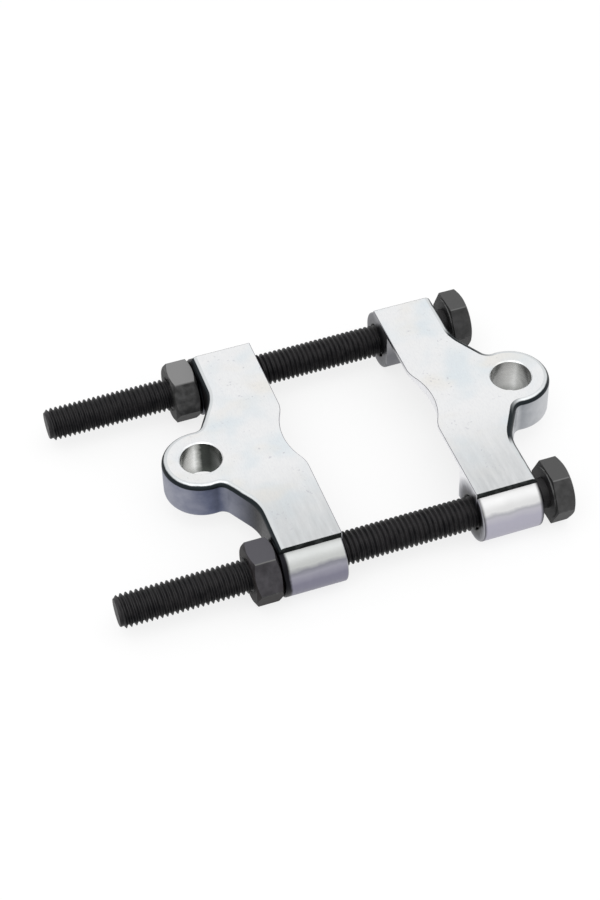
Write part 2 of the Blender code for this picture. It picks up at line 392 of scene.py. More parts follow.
@dataclass(frozen=True)
class Finish(ABC):
    """A surface whose colour is laid down in layers, with a grain in its roughness and relief.

    A band holds the two levels between which something fades in. A share says how strongly it
    shows. Places are in the object's own axes, in metres.
    """

    name: str
    sheen: Sheen
    metallic: float = 1.0
    gloss: float = 0.5

    @abstractmethod
    def layers(self, shader: Shader) -> Layers:
        """Lay down the colour.

        Args:
            shader: The material's nodes.

        Returns:
            The colour, the noise in the roughness and the noise in the relief.
        """

    def material(self) -> Material:
        """Build the material.

        Returns:
            The material.
        """
        shader, sheen = Shader(self.name), self.sheen
        tint, patches, grain = self.layers(shader)
        inputs = {
            "Base Color": tint,
            "Metallic": self.metallic,
            "Specular IOR Level": self.gloss,
            "Roughness": sheen.roughness + patches.swing(sheen.unevenness),
            "Normal": shader.bump(grain, sheen.depth, sheen.strength),
        }
        shader.feed(shader.surface, inputs)
        return shader.material


@dataclass(frozen=True)
class GroundSteel(Finish):
    """Bright plated steel with a ground face: nearly white, with faint cool and warm patches."""

    name: str = "ground_plated_top"
    sheen: Sheen = Sheen(0.34, 0.14, 0.004 * MM, 0.4)
    silver: Color = (0.84, 0.845, 0.85)
    clouds: Grain = Grain(14.0 * MM, 2.0)
    cool: Coat = Coat((0.74, 0.79, 0.82), (0.42, 0.70))
    warmth: Grain = Grain(18.2 * MM, 2.0, (1.0, 0.7, 1.0))
    warm: Coat = Coat((0.82, 0.80, 0.76), (0.50, 0.74), 0.8)
    # Greyer towards the front of the top, in strokes
    front_grey: Color = (0.56, 0.575, 0.58)
    front_grey_share: float = 0.22
    front: Band = (-42.0 * MM, -6.0 * MM)
    strokes: Grain = Grain(1.6 * MM, 3.0, (1.0, 7.0, 1.0))
    stroke_share: float = 1.1
    flecks: Grain = Grain(1.1 * MM, 2.0)
    fleck: Coat = Coat((0.50, 0.50, 0.54), (0.62, 0.74), 0.7)
    fields: Grain = Grain(9.0 * MM, 2.0)
    field_band: Band = (0.45, 0.65)
    specks: Grain = Grain(0.5 * MM, 4.0, (0.6, 2.2, 1.0))
    speck: Coat = Coat((0.50, 0.50, 0.54), (0.35, 0.75), 0.14)

    def layers(self, shader: Shader) -> Layers:
        """Lay silver, then cool and warm patches, greyer strokes towards the front, flecks and specks.

        Args:
            shader: The material's nodes.

        Returns:
            The colour, the noise in the roughness and the noise in the relief.
        """
        tint = shader.coat(self.silver, shader.noise(self.clouds), self.cool)
        tint = shader.coat(tint, shader.noise(self.warmth), self.warm)
        strokes = shader.noise(self.strokes) * self.stroke_share
        forward = 1.0 - shader.along("Y").blend(self.front)
        tint = shader.mix(forward * (self.front_grey_share + strokes), tint, self.front_grey)
        spread = shader.noise(self.fields).blend(self.field_band)
        tint = shader.coat(tint, shader.noise(self.flecks), self.fleck, spread)
        specks = shader.noise(self.specks)
        return shader.coat(tint, specks, self.speck), specks, specks


@dataclass(frozen=True)
class ForgedSteel(Finish):
    """The forging's plated skin, with painted light and shade on its lavender walls and top edge.

    The walls' tones follow how each face turns, as painted light and shade, and the rounded top
    edge has a painted dark line with a painted highlight above it. On the left half the walls are
    blue-grey, with painted shade in the necks beside the lug and painted black shade beside the
    nuts. On the right half they are paler.
    """

    name: str = "forged_plated_skin"
    sheen: Sheen = Sheen(0.42, 0.2, 0.03 * MM, 0.6)
    # Wall tones by the lit level below: painted light and shade, darker on the left half than the
    # right
    walls: Stops = (
        (0.10, (0.050, 0.060, 0.095)),
        (0.45, (0.125, 0.140, 0.210)),
        (0.90, (0.300, 0.310, 0.370)),
    )
    pale_walls: Stops = (
        (0.00, (0.11, 0.115, 0.13)),
        (0.25, (0.30, 0.315, 0.34)),
        (0.70, (0.54, 0.55, 0.57)),
    )
    # Painted shade in the necks beside the lug, for each half
    neck: Color = (0.050, 0.062, 0.095)
    pale_neck_shade: Color = (0.26, 0.275, 0.295)
    # Painted black shade beside the nuts, for their shadow and dark reflection
    nut_shade: Color = (0.008, 0.008, 0.010)
    # A painted dark line on the rounded top edge for its dark reflection, with a painted highlight
    # above it
    edge: Coat = Coat((0.020, 0.025, 0.028), (0.06, 0.26))
    rim: Coat = Coat((0.66, 0.68, 0.69), (0.76, 0.90))
    clouds: Grain = Grain(4.0 * MM)
    pits: Grain = Grain(0.8 * MM, 4.0)
    outward_share: float = 0.75
    endward_share: float = 0.35
    below_share: float = 0.7
    cloud_share: float = 0.5
    middle: float = 12.95 * MM
    lug: Band = (42.5 * MM, 49.1 * MM)
    neck_place: float = 10.5 * MM
    neck_span: Band = (0.0, 3.5 * MM)
    hollow_shade_share: float = 0.28
    neck_shade_share: float = 0.55
    outer_band: Band = (0.4, 0.9)
    nut_shade_run: Band = (12.0 * MM, 25.0 * MM)
    ripple: float = 0.2
    off_nut_shade: Band = (0.02, 0.2)
    rimless_place: float = 16.0 * MM
    rimless_span: Band = (7.0 * MM, 11.0 * MM)

    def layers(self, shader: Shader) -> Layers:
        """Lay painted light and shade on the walls, by the lug, beside the nuts and on the top edge.

        Args:
            shader: The material's nodes.

        Returns:
            The colour, the noise in the roughness and the noise in the relief.
        """
        upward, right = shader.facing("Z"), shader.on_right()
        clouds, pits = shader.noise(self.clouds), shader.noise(self.pits)
        outward = shader.facing("X") * (right * 2.0 - 1.0)
        # Painted light and shade: lit rises as a face turns outward, towards an end or downward
        lit = outward * self.outward_share + shader.facing("Y").size() * self.endward_share
        lit = lit + (0.0 - upward).larger(0.0) * self.below_share + clouds.swing(self.cloud_share)
        tint = shader.mix(right, shader.ramp(lit, self.walls), shader.ramp(lit, self.pale_walls))
        off_middle = shader.off("Y")
        by_lug = 1.0 - shader.off("X", self.middle).blend(self.lug)
        in_neck = 1.0 - (off_middle - self.neck_place).size().blend(self.neck_span)
        # Painted shade in the recesses by the lug, deepest in the necks
        hollow_shade = by_lug * (self.hollow_shade_share + in_neck * self.neck_shade_share)
        tint = shader.mix(hollow_shade, tint, shader.mix(right, self.neck, self.pale_neck_shade))
        # Painted black shade on the left half's outer walls beside the nuts
        nut_shaded = outward.blend(self.outer_band) * (1.0 - right) * off_middle.blend(self.nut_shade_run)
        tint = shader.mix(nut_shaded, tint, self.nut_shade)
        # The painted dark line and painted highlight along the rounded top edge; the highlight is kept
        # off beside the nuts and by the right half's lug
        top = upward + clouds.swing(self.ripple)
        rimless = 1.0 - (off_middle - self.rimless_place).size().blend(self.rimless_span)
        worn = (1.0 - nut_shaded.blend(self.off_nut_shade)) * (1.0 - rimless * right * by_lug)
        tint = shader.coat(shader.coat(tint, top, self.edge), top, self.rim, worn)
        return tint, pits, pits


@dataclass(frozen=True)
class InnerWallSteel(Finish):
    """Walls of the knife edge and notch: bright, with painted shade towards the bores of the bolts."""

    name: str = "ground_inner_wall"
    sheen: Sheen = Sheen(0.36, 0.2, 0.008 * MM, 0.5)
    # Rings of painted shade round the bores, for the bolts' shadow and dark reflection
    rings: Stops = (
        (0.00, (0.014, 0.014, 0.016)),
        (0.20, (0.040, 0.040, 0.048)),
        (0.42, (0.150, 0.150, 0.170)),
        (0.70, (0.460, 0.465, 0.490)),
        (1.00, (0.900, 0.900, 0.920)),
    )
    shade: Coat = Coat((0.66, 0.66, 0.70), (0.5, 0.8), 0.5)
    # Painted shade on faces turned down and towards the rear
    under: Color = (0.065, 0.065, 0.075)
    # A painted dark line on the broken edge
    edge: Coat = Coat((0.20, 0.20, 0.22), (0.3, 0.6))
    clouds: Grain = Grain(3.0 * MM)
    strokes: Grain = Grain(0.4 * MM, 3.0, (1.0, 1.0, 8.0))
    bolt_y: float = 39.0 * MM
    bolt_z: float = 8.9 * MM
    bolt_shade: Band = (5.6 * MM, 11.0 * MM)
    cloud_share: float = 0.15
    under_band: Band = (0.2, 0.6)
    rear: Band = (8.0 * MM, 30.0 * MM)
    rear_share: float = 0.7

    def layers(self, shader: Shader) -> Layers:
        """Lay painted shade round the bores, on downward and rear faces, and on the broken edge.

        Args:
            shader: The material's nodes.

        Returns:
            The colour, the noise in the roughness and the noise in the relief.
        """
        side = shader.off("Y") - self.bolt_y
        rise = shader.along("Z") - self.bolt_z
        clouds, strokes = shader.noise(self.clouds), shader.noise(self.strokes)
        level = (side * side + rise * rise).root().blend(self.bolt_shade, "LINEAR")
        level = level + clouds.swing(self.cloud_share)
        tint = shader.coat(shader.ramp(level, self.rings), clouds, self.shade, level)
        upward = shader.facing("Z")
        rearward = shader.along("Y").blend(self.rear) * self.rear_share
        shaded = (0.0 - upward).blend(self.under_band).larger(rearward)
        tint = shader.mix(shaded, tint, self.under)
        return shader.coat(tint, upward, self.edge), strokes, strokes


@dataclass(frozen=True)
class ShadeBlackSteel(Finish):
    """The step at each end of the ground top and the bores of the bolts: painted black as shade."""

    name: str = "shade_black_step"
    sheen: Sheen = Sheen(0.40, 0.2, 0.01 * MM, 0.4)
    black: Color = (0.012, 0.014, 0.014)
    grey: Coat = Coat((0.055, 0.060, 0.060), (0.4, 0.8))
    clouds: Grain = Grain(2.5 * MM)

    def layers(self, shader: Shader) -> Layers:
        """Lay grey clouds on black."""
        clouds = shader.noise(self.clouds)
        return shader.coat(self.black, clouds, self.grey), clouds, clouds


@dataclass(frozen=True)
class TurnedSteel(Finish):
    """Machined and plated barrels: painted light above, greyer below a soft border, dark shaded ends.
    """

    name: str = "turned_plated_barrel"
    sheen: Sheen = Sheen(0.40, 0.15, 0.006 * MM, 0.5)
    # Each half's tones by how the surface faces: painted light above, painted shade below, the left
    # half darker
    left: Stops = (
        (0.10, (0.225, 0.220, 0.280)),
        (0.40, (0.330, 0.325, 0.380)),
        (0.52, (0.250, 0.250, 0.285)),
        (0.64, (0.500, 0.510, 0.500)),
        (0.90, (0.425, 0.435, 0.430)),
    )
    right: Stops = (
        (0.25, (0.430, 0.420, 0.490)),
        (0.44, (0.490, 0.480, 0.530)),
        (0.52, (0.430, 0.430, 0.460)),
        (0.62, (0.700, 0.700, 0.700)),
        (0.90, (0.580, 0.580, 0.580)),
    )
    # Painted black shade at the left half's barrel ends by the nuts
    nut_shade: Color = (0.012, 0.012, 0.014)
    off_nut: Band = (-25.3 * MM, -24.3 * MM)
    # Painted shade at both ends of the right half's barrels, by the bolt and the head
    ends: Coat = Coat((0.012, 0.012, 0.014), (8.2 * MM, 9.2 * MM), 0.85)
    right_middle: float = 43.05 * MM
    # Painted shade on the barrels' inner flank
    inner_flank: Color = (0.085, 0.085, 0.100)
    off_flank: Band = (33.0 * MM, 39.0 * MM)
    flank_share: float = 0.9
    clouds: Grain = Grain(5.0 * MM)
    grooves: Grain = Grain(0.35 * MM, 3.0, (1.0, 12.0, 12.0))
    ripple: float = 0.2
    nut_shade_ripple: float = 1.0 * MM

    def layers(self, shader: Shader) -> Layers:
        """Lay each half's painted light and shade, then painted shade at the ends and on the inner
        flank.

        Args:
            shader: The material's nodes.

        Returns:
            The colour, the noise in the roughness and the noise in the relief.
        """
        clouds, grooves = shader.noise(self.clouds), shader.noise(self.grooves)
        right, level = shader.on_right(), shader.facing("Z") + clouds.swing(self.ripple)
        tint = shader.mix(right, shader.ramp(level, self.left), shader.ramp(level, self.right))
        clear = (shader.along("X") + clouds.swing(self.nut_shade_ripple)).blend(self.off_nut)
        tint = shader.mix(clear, self.nut_shade, tint)
        tint = shader.coat(tint, shader.off("X", self.right_middle), self.ends, right)
        inner = 1.0 - shader.off("Y").blend(self.off_flank)
        return shader.mix(inner * self.flank_share, tint, self.inner_flank), grooves, grooves


@dataclass(frozen=True)
class DrilledSteel(Finish):
    """Walls of the puller holes: a painted highlight streak beside a painted dark side."""

    name: str = "drilled_puller_hole"
    sheen: Sheen = Sheen(0.26, 0.2, 0.01 * MM, 0.6)
    # Painted light and shade round the hole by how the wall faces: a highlight streak beside a dark
    # side
    around: Stops = (
        (0.00, (0.11, 0.115, 0.11)),
        (0.20, (0.030, 0.033, 0.030)),
        (0.38, (0.055, 0.060, 0.055)),
        (0.47, (0.45, 0.46, 0.44)),
        (0.56, (0.95, 0.96, 0.94)),
        (0.70, (0.62, 0.62, 0.60)),
        (1.00, (0.20, 0.20, 0.19)),
    )
    # Paler on the right half, as painted light
    paler: Color = (0.44, 0.44, 0.44)
    paler_share: float = 0.45
    # Painted shade deep in the hole
    deep_shade: Color = (0.10, 0.11, 0.10)
    deep_shade_share: float = 0.5
    depth: Band = (6.5 * MM, 10.5 * MM)
    rings: Grain = Grain(0.5 * MM, 2.0, (14.0, 14.0, 1.0))
    clouds: Grain = Grain(2.0 * MM)
    cloud_share: float = 0.10
    turn_share: float = 0.5
    left_turn: float = 0.52
    right_turn: float = 0.86

    def layers(self, shader: Shader) -> Layers:
        """Lay painted light and shade round the hole, turned and paler on the right half, shaded deep
        down.

        Args:
            shader: The material's nodes.

        Returns:
            The colour, the noise in the roughness and the noise in the relief.
        """
        rings, right = shader.noise(self.rings), shader.on_right()
        turn = right * (self.right_turn - self.left_turn) + self.left_turn
        clouds = shader.noise(self.clouds).swing(self.cloud_share)
        turn = shader.facing("X") * self.turn_share + turn + clouds
        tint = shader.mix(right * self.paler_share, shader.ramp(turn, self.around), self.paler)
        depth = 1.0 - shader.along("Z").blend(self.depth)
        return shader.mix(depth * self.deep_shade_share, tint, self.deep_shade), rings, rings


@dataclass(frozen=True)
class BlackOxide(Finish):
    """Blackened steel: nearly black, dry and slightly brown, paler in rubbed patches, with a painted
    highlight on what faces up.
    """

    sheen: Sheen = Sheen(0.48, 0.2, 0.02 * MM, 0.5)
    metallic: float = 0.0
    gloss: float = 0.16
    dark: Color = (0.006, 0.006, 0.007)
    pale: Color = (0.016, 0.015, 0.016)
    pale_band: Band = (0.35, 0.7)
    # Painted highlight on faces turned up, where light falls
    worn: Color = (0.030, 0.029, 0.030)
    highlight_band: Band = (0.25, 0.95)
    clouds: Grain = Grain(2.5 * MM, 4.0)
    ripple: float = 0.4
    pits: Grain = Grain(0.35 * MM)

    def layers(self, shader: Shader) -> Layers:
        """Lay pale clouds on the dark ground and a painted highlight on what faces up.

        Args:
            shader: The material's nodes.

        Returns:
            The colour, the noise in the roughness and the noise in the relief.
        """
        clouds = shader.noise(self.clouds)
        tint = shader.mix(clouds.blend(self.pale_band), self.dark, self.pale)
        upward = shader.facing("Z") + clouds.swing(self.ripple)
        tint = shader.mix(upward.blend(self.highlight_band), tint, self.worn)
        return tint, clouds, shader.noise(self.pits)


class Hardware(Enum):
    """Kinds of hexagon, each with its own finish. Threads and rubbed edges are alike on all."""

    # The head and each nut are lit and shaded copies of one black finish, painted lighter or darker
    HEAD = BlackOxide(
        "black_head", gloss=0.14,
        dark=(0.018, 0.018, 0.018), pale=(0.030, 0.029, 0.030), worn=(0.070, 0.070, 0.070),
    )
    FRONT_NUT = BlackOxide(
        "black_nut_front", Sheen(0.55, 0.2, 0.02 * MM, 0.5), gloss=0.10,
        dark=(0.014, 0.012, 0.013), pale=(0.024, 0.021, 0.021), worn=(0.080, 0.078, 0.088),
    )
    REAR_NUT = BlackOxide(
        "black_nut_rear", Sheen(0.52, 0.2, 0.02 * MM, 0.5), gloss=0.12,
        dark=(0.013, 0.013, 0.013), pale=(0.030, 0.030, 0.030), worn=(0.20, 0.20, 0.20),
    )


BLACK_THREAD = BlackOxide("black_thread")
RUBBED_EDGE = BlackOxide(
    "rubbed_edge", dark=(0.03, 0.03, 0.03), pale=(0.07, 0.07, 0.07), worn=(0.12, 0.12, 0.12)
)
FORGING = {
    ForgingZone.GROUND_TOP: GroundSteel(),
    ForgingZone.FORGED_SKIN: ForgedSteel(),
    ForgingZone.TURNED_BARREL: TurnedSteel(),
    ForgingZone.PULLER_HOLE: DrilledSteel(),
    ForgingZone.INNER_WALL: InnerWallSteel(),
    ForgingZone.SHADE_BLACK: ShadeBlackSteel(),
}


# Mesh tools


@dataclass(frozen=True)
class Facets:
    """How a round is divided: the number of flats and the angle of the first."""

    sides: int
    twist: float = 0.0


def arc(center: Vector, radius: float, start: float, end: float, step: float) -> list[Vector]:
    """Points of a flat arc.

    Args:
        center: Its centre.
        radius: Its radius.
        start: First angle.
        end: Last angle.
        step: Largest angle between two points.

    Returns:
        The points, both ends included.
    """
    count = max(2, math.ceil(abs(end - start) / step))
    angles = (start + (end - start) * index / count for index in range(count + 1))
    return [center + radius * Vector((math.cos(angle), math.sin(angle))) for angle in angles]


def prism(outline: Sequence[Vector], direction: Vector) -> BMesh:
    """A closed outline of 3D points, pushed along a direction.

    Args:
        outline: The outline's points.
        direction: How far and which way it is pushed.

    Returns:
        The closed solid.
    """
    bm = bmesh.new()
    face = bm.faces.new([bm.verts.new(point) for point in outline])
    pushed = bmesh.ops.extrude_face_region(bm, geom=[face])
    moved = [item for item in pushed["geom"] if isinstance(item, BMVert)]
    bmesh.ops.translate(bm, verts=moved, vec=direction)
    bmesh.ops.recalc_face_normals(bm, faces=bm.faces)
    return bm


def spin(bm: BMesh, profile: Profile, turns: int, sides: int, pitch: float) -> None:
    """Spin an open profile about X, closed on itself or as a helix.

    Args:
        bm: Where it is spun.
        profile: Points of position along X and radius.
        turns: Whole turns.
        sides: Facets of one turn.
        pitch: Travel along X in one turn, or 0 for a full round.
    """
    verts = [bm.verts.new((x, radius, 0.0)) for x, radius in profile]
    edges = [bm.edges.new(pair) for pair in zip(verts, verts[1:])]
    bmesh.ops.spin(
        bm, geom=verts + edges, axis=(1.0, 0.0, 0.0), cent=(0.0, 0.0, 0.0),
        dvec=(pitch / sides, 0.0, 0.0), angle=math.tau * turns, steps=sides * turns,
        use_merge=pitch == 0.0,
    )


def turned(profile: Profile, facets: Facets) -> BMesh:
    """A profile spun about X.

    Args:
        profile: Points of position along X and radius, from the axis back to the axis.
        facets: How the round is divided.

    Returns:
        The closed solid.
    """
    bm = bmesh.new()
    spin(bm, profile, 1, facets.sides, 0.0)
    bmesh.ops.remove_doubles(bm, verts=bm.verts, dist=NEAR)
    bmesh.ops.recalc_face_normals(bm, faces=bm.faces)
    twist = Matrix.Rotation(facets.twist, 3, "X")
    bmesh.ops.rotate(bm, verts=bm.verts, cent=(0.0, 0.0, 0.0), matrix=twist)
    return bm


def hole_cutter(
    start: float, end: float, radius: float, chamfer: float, facets: Facets
) -> BMesh:
    """A cutter along X for a chamfered hole, whose cones run on past both mouths.

    Args:
        start: One mouth of the hole.
        end: The other mouth.
        radius: The hole's radius.
        chamfer: Width and depth of the chamfers.
        facets: How the round is divided.

    Returns:
        The cutter.
    """
    wide, before, beyond = radius + chamfer + CUTTER_MARGIN, start - CUTTER_MARGIN, end + CUTTER_MARGIN
    mouth = [(before, 0.0), (before, wide), (start + chamfer, radius)]
    return turned([*mouth, (end - chamfer, radius), (beyond, wide), (beyond, 0.0)], facets)


def soften(bm: BMesh, edges: list, radius: float, segments: int) -> None:
    """Round some edges of a solid, with a number of facets across each."""
    bmesh.ops.bevel(
        bm, geom=edges, offset=radius, offset_type="OFFSET", segments=segments,
        profile=0.5, affect="EDGES", clamp_overlap=False, material=-1,
    )


def mesh_object(name: str, bm: BMesh) -> bpy.types.Object:
    """Write a bmesh into a new object of the scene.

    Args:
        name: The object's name.
        bm: The solid, which is freed.

    Returns:
        The object.
    """
    mesh = bpy.data.meshes.new(name)
    bm.to_mesh(mesh)
    bm.free()
    made = bpy.data.objects.new(name, mesh)
    bpy.context.scene.collection.objects.link(made)
    return made


class Piece:
    """A mesh object in the making, shaped further by solids that join, cut or trim it."""

    def __init__(self, name: str, bm: BMesh) -> None:
        """Write the first solid into a new object."""
        self.object = mesh_object(name, bm)

    def shape(self, how: Boolean, bm: BMesh) -> "Piece":
        """Join, cut or trim with another solid.

        Args:
            how: What the other solid does.
            bm: The other solid, which is freed.

        Returns:
            This piece.
        """
        tool = mesh_object(f"{self.object.name}_tool", bm)
        modifier = self.object.modifiers.new(how.value, "BOOLEAN")
        modifier.operation = how.value
        modifier.solver = "EXACT"
        modifier.object = tool
        graph = bpy.context.evaluated_depsgraph_get()
        shaped = bpy.data.meshes.new_from_object(self.object.evaluated_get(graph))
        self.object.modifiers.clear()
        spent = [self.object.data, tool.data]
        self.object.data = shaped
        bpy.data.objects.remove(tool)
        for mesh in spent:
            bpy.data.meshes.remove(mesh)
        return self

    def paint(self, zone_of: Callable[[BMFace], Enum], finishes: Finishes) -> None:
        """Give each face the material of its zone.

        Args:
            zone_of: Finds the zone of a face.
            finishes: Material of each zone, in the order of the zones' numbers.
        """
        mesh = self.object.data
        mesh.materials.clear()
        for material in finishes.values():
            mesh.materials.append(material)
        bm = bmesh.new()
        bm.from_mesh(mesh)
        for face in bm.faces:
            face.material_index = zone_of(face).value
        bm.to_mesh(mesh)
        bm.free()

    def move(self, matrix: Matrix) -> None:
        """Place the mesh itself, so that the object stays at the origin."""
        self.object.data.transform(matrix)

    def finish(self, name: str, body: str, node: str, slot: str, smooth: float) -> None:
        """Name and shade the piece, and tie it to the body whose CAD node it stands for.

        Args:
            name: Name of the piece.
            body: CAD body that it rides on.
            node: CAD node that it replaces.
            slot: Slot of the record for its finish; not used.
            smooth: Angle above which an edge stays sharp.
        """
        self.object.name = self.object.data.name = name
        self.object.data.shade_smooth()
        self.object.data.set_sharp_from_angle(angle=smooth)
        weights = self.object.modifiers.new("flat_faces_first", "WEIGHTED_NORMAL")
        weights.keep_sharp = True
        weights.weight = FACE_WEIGHT
        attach(self.object, body)
        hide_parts(node)
        LOG.info("%s: %d faces on %s", name, len(self.object.data.polygons), body)


# Sub-assemblies


@dataclass
class ForgedHalf:
    """One forging: clamping bar, lug, notched knife edge and two barrels.

    In its own axes the knife edge is X = 0, the middle Y = 0 and the surface that the barrels
    rest on Z = 0.
    """

    hand: Hand
    bar_width: float = 19.0 * MM
    thickness: float = 12.7 * MM
    top: float = 19.2 * MM
    bolt_y: float = 39.0 * MM
    overhang: float = 2.7 * MM
    barrel_radius: float = 8.9 * MM
    barrel_proud: float = 0.2 * MM
    barrel_round: float = 0.6 * MM
    bore_radius: float = 5.3 * MM
    bore_chamfer: float = 0.4 * MM
    notch_depth: float = 3.2 * MM
    notch_radius: float = 21.2 * MM
    mouth_round: float = 10.0 * MM
    knife_land: float = 1.2 * MM
    knife_angle: float = math.radians(35.0)
    knife_end_land: float = 0.6 * MM
    lug_reach: float = 28.7 * MM
    lug_radius: float = 11.7 * MM
    hole_radius: float = 6.2 * MM
    hole_chamfer: float = 0.35 * MM
    shoulder_half: float = 23.1 * MM
    shoulder_angle: float = math.radians(30.0)
    shoulder_fillet: float = 14.0 * MM
    neck_fillet: float = 3.0 * MM
    top_round: float = 1.8 * MM
    top_segments: int = 7
    under_round: float = 1.2 * MM
    under_segments: int = 4
    edge_break: float = 0.22 * MM
    edge_segments: int = 2
    sharp: float = math.radians(40.0)
    inner_tilt: float = 0.2
    smooth: float = math.radians(32.0)
    arc_step: float = math.radians(3.0)
    round_segments: int = 4
    barrel_facets: Facets = Facets(120)
    hole_facets: Facets = Facets(100, math.tau / 400)

    @property
    def underside(self) -> float:
        """Height of the plate's underside."""
        return self.top - self.thickness

    @property
    def barrel_end(self) -> float:
        """Outer end of the barrels, a little proud of the bar."""
        return self.bar_width + self.barrel_proud

    def outer_side(self) -> list[Vector]:
        """Outline of the rear outer side, from the lug's tip to the bar's wall.

        Returns:
            Its points.
        """
        lug_center = Vector((self.lug_reach, 0.0))
        corner = Vector((self.bar_width, self.shoulder_half))
        tilt = self.shoulder_angle
        slope = Vector((math.sin(tilt), -math.cos(tilt)))
        outward = Vector((math.cos(tilt), math.sin(tilt)))
        start = corner + outward * self.neck_fillet
        to_lug = lug_center - start
        reach = math.sqrt((self.lug_radius + self.neck_fillet) ** 2 - to_lug.dot(outward) ** 2)
        neck_center = start + slope * (to_lug.dot(slope) - reach)
        from_lug = neck_center - lug_center
        turn = math.atan2(from_lug.y, from_lug.x)
        lug = arc(lug_center, self.lug_radius, 0.0, turn, self.arc_step)
        neck = arc(neck_center, self.neck_fillet, turn - math.pi, tilt - math.pi, 3 * self.arc_step)
        run = self.shoulder_fillet * math.tan(tilt / 2)
        fillet_center = corner + Vector((self.shoulder_fillet, run))
        shoulder = arc(fillet_center, self.shoulder_fillet, math.pi + tilt, math.pi, self.arc_step)
        return lug + neck[1:] + shoulder

    def inner_side(self) -> list[Vector]:
        """Outline of the rear inner side, from the bar's end to the middle of the notch.

        Returns:
            Its points.
        """
        notch_center = Vector((self.notch_depth - self.notch_radius, 0.0))
        span = self.notch_radius + self.mouth_round
        step = self.mouth_round - notch_center.x
        mouth_center = Vector((self.mouth_round, math.sqrt(span ** 2 - step ** 2)))
        touch = math.atan2(mouth_center.y, step)
        mouth = arc(mouth_center, self.mouth_round, math.pi, math.pi + touch, self.arc_step)
        notch = arc(notch_center, self.notch_radius, touch, 0.0, self.arc_step)
        return mouth + notch[1:]

    def plate(self) -> BMesh:
        """The bar, shoulders, lug and notch as one plate with rounded and broken edges.

        Returns:
            The closed solid.
        """
        end_y = self.bolt_y + self.overhang
        far = self.outer_side() + [Vector((self.bar_width, end_y)), Vector((0.0, end_y))]
        far += self.inner_side()
        near = [Vector((point.x, -point.y)) for point in reversed(far[1:-1])]
        outline = [Vector((point.x, point.y, self.underside)) for point in far + near]
        bm = prism(outline, Vector((0.0, 0.0, self.thickness)))
        soften(bm, self.outer_edges(bm, self.top), self.top_round, self.top_segments)
        soften(bm, self.outer_edges(bm, self.underside), self.under_round, self.under_segments)
        pairs = [edge for edge in bm.edges if len(edge.link_faces) == 2]
        sharp = [edge for edge in pairs if edge.calc_face_angle(0.0) > self.sharp]
        soften(bm, sharp, self.edge_break, self.edge_segments)
        return bm

    def outer_edges(self, bm: BMesh, level: float) -> list[BMEdge]:
        """Edges along the outer side at one level."""
        wall = self.bar_width - NEAR
        return [
            edge
            for edge in bm.edges
            if all(abs(vert.co.z - level) < NEAR and vert.co.x > wall for vert in edge.verts)
        ]

    def on_bolt(self, bm: BMesh, side: int) -> BMesh:
        """Shift a solid from the X axis to the axis of one bolt.

        Args:
            bm: The solid.
            side: -1 for the front bolt, 1 for the rear one.

        Returns:
            The same solid.
        """
        shift = (0.0, side * self.bolt_y, self.barrel_radius)
        bmesh.ops.translate(bm, verts=bm.verts, vec=shift)
        return bm

    def barrel(self) -> BMesh:
        """A round barrel about X with rounded ends.

        Returns:
            The closed solid.
        """
        soft, start, end = self.barrel_round, self.barrel_proud, self.barrel_end
        center = Vector((start + soft, self.barrel_radius - soft))
        count = self.round_segments
        quarter = [math.pi / 2 * index / count for index in range(count + 1)]
        rise = [(center.x - soft * math.cos(a), center.y + soft * math.sin(a)) for a in quarter]
        fall = [(start + end - x, radius) for x, radius in reversed(rise)]
        return turned([(start, 0.0), *rise, *fall, (end, 0.0)], self.barrel_facets)

    def bore(self) -> BMesh:
        """Cutter about X for the bore of a barrel."""
        return hole_cutter(
            0.0, self.barrel_end, self.bore_radius, self.bore_chamfer, self.hole_facets
        )

    def lug_hole(self) -> BMesh:
        """Cutter for the upright puller hole.

        Returns:
            The cutter.
        """
        bm = hole_cutter(
            self.underside, self.top, self.hole_radius, self.hole_chamfer, self.hole_facets
        )
        upright = Matrix.Rotation(-math.pi / 2, 3, "Y")
        bmesh.ops.rotate(bm, verts=bm.verts, cent=(0.0, 0.0, 0.0), matrix=upright)
        bmesh.ops.translate(bm, verts=bm.verts, vec=(self.lug_reach, 0.0, 0.0))
        return bm

    def knife_bevel(self) -> BMesh:
        """Cutter that slopes the underside up to the land of the knife edge.

        Returns:
            The cutter.
        """
        slope = math.tan(self.knife_angle)
        edge_z = self.top - self.knife_land
        floor_z = self.underside - CUTTER_MARGIN
        section = [
            (-CUTTER_MARGIN, edge_z + CUTTER_MARGIN * slope),
            ((edge_z - floor_z) / slope, floor_z),
            (-CUTTER_MARGIN, floor_z),
        ]
        reach = self.bolt_y - self.barrel_radius - self.knife_end_land
        outline = [Vector((x, -reach, z)) for x, z in section]
        return prism(outline, Vector((0.0, 2 * reach, 0.0)))

    def zone(self, face: BMFace) -> ForgingZone:
        """Kind of surface that a face of the finished half belongs to.

        Args:
            face: The face, in the half's own axes.

        Returns:
            Its kind.
        """
        middle, normal = face.calc_center_median(), face.normal
        side = abs(middle.y) - self.bolt_y
        from_axis = math.hypot(side, middle.z - self.barrel_radius)
        from_hole = math.hypot(middle.x - self.lug_reach, middle.y)
        across = abs(normal.x) > SQUARE_ON
        if normal.z > LEVEL and middle.z > self.top - NEAR:
            return ForgingZone.GROUND_TOP
        if from_hole < self.hole_radius + self.hole_chamfer + NEAR:
            in_hole = from_hole < self.hole_radius + self.hole_chamfer / 4
            return ForgingZone.PULLER_HOLE if in_hole else ForgingZone.GROUND_TOP
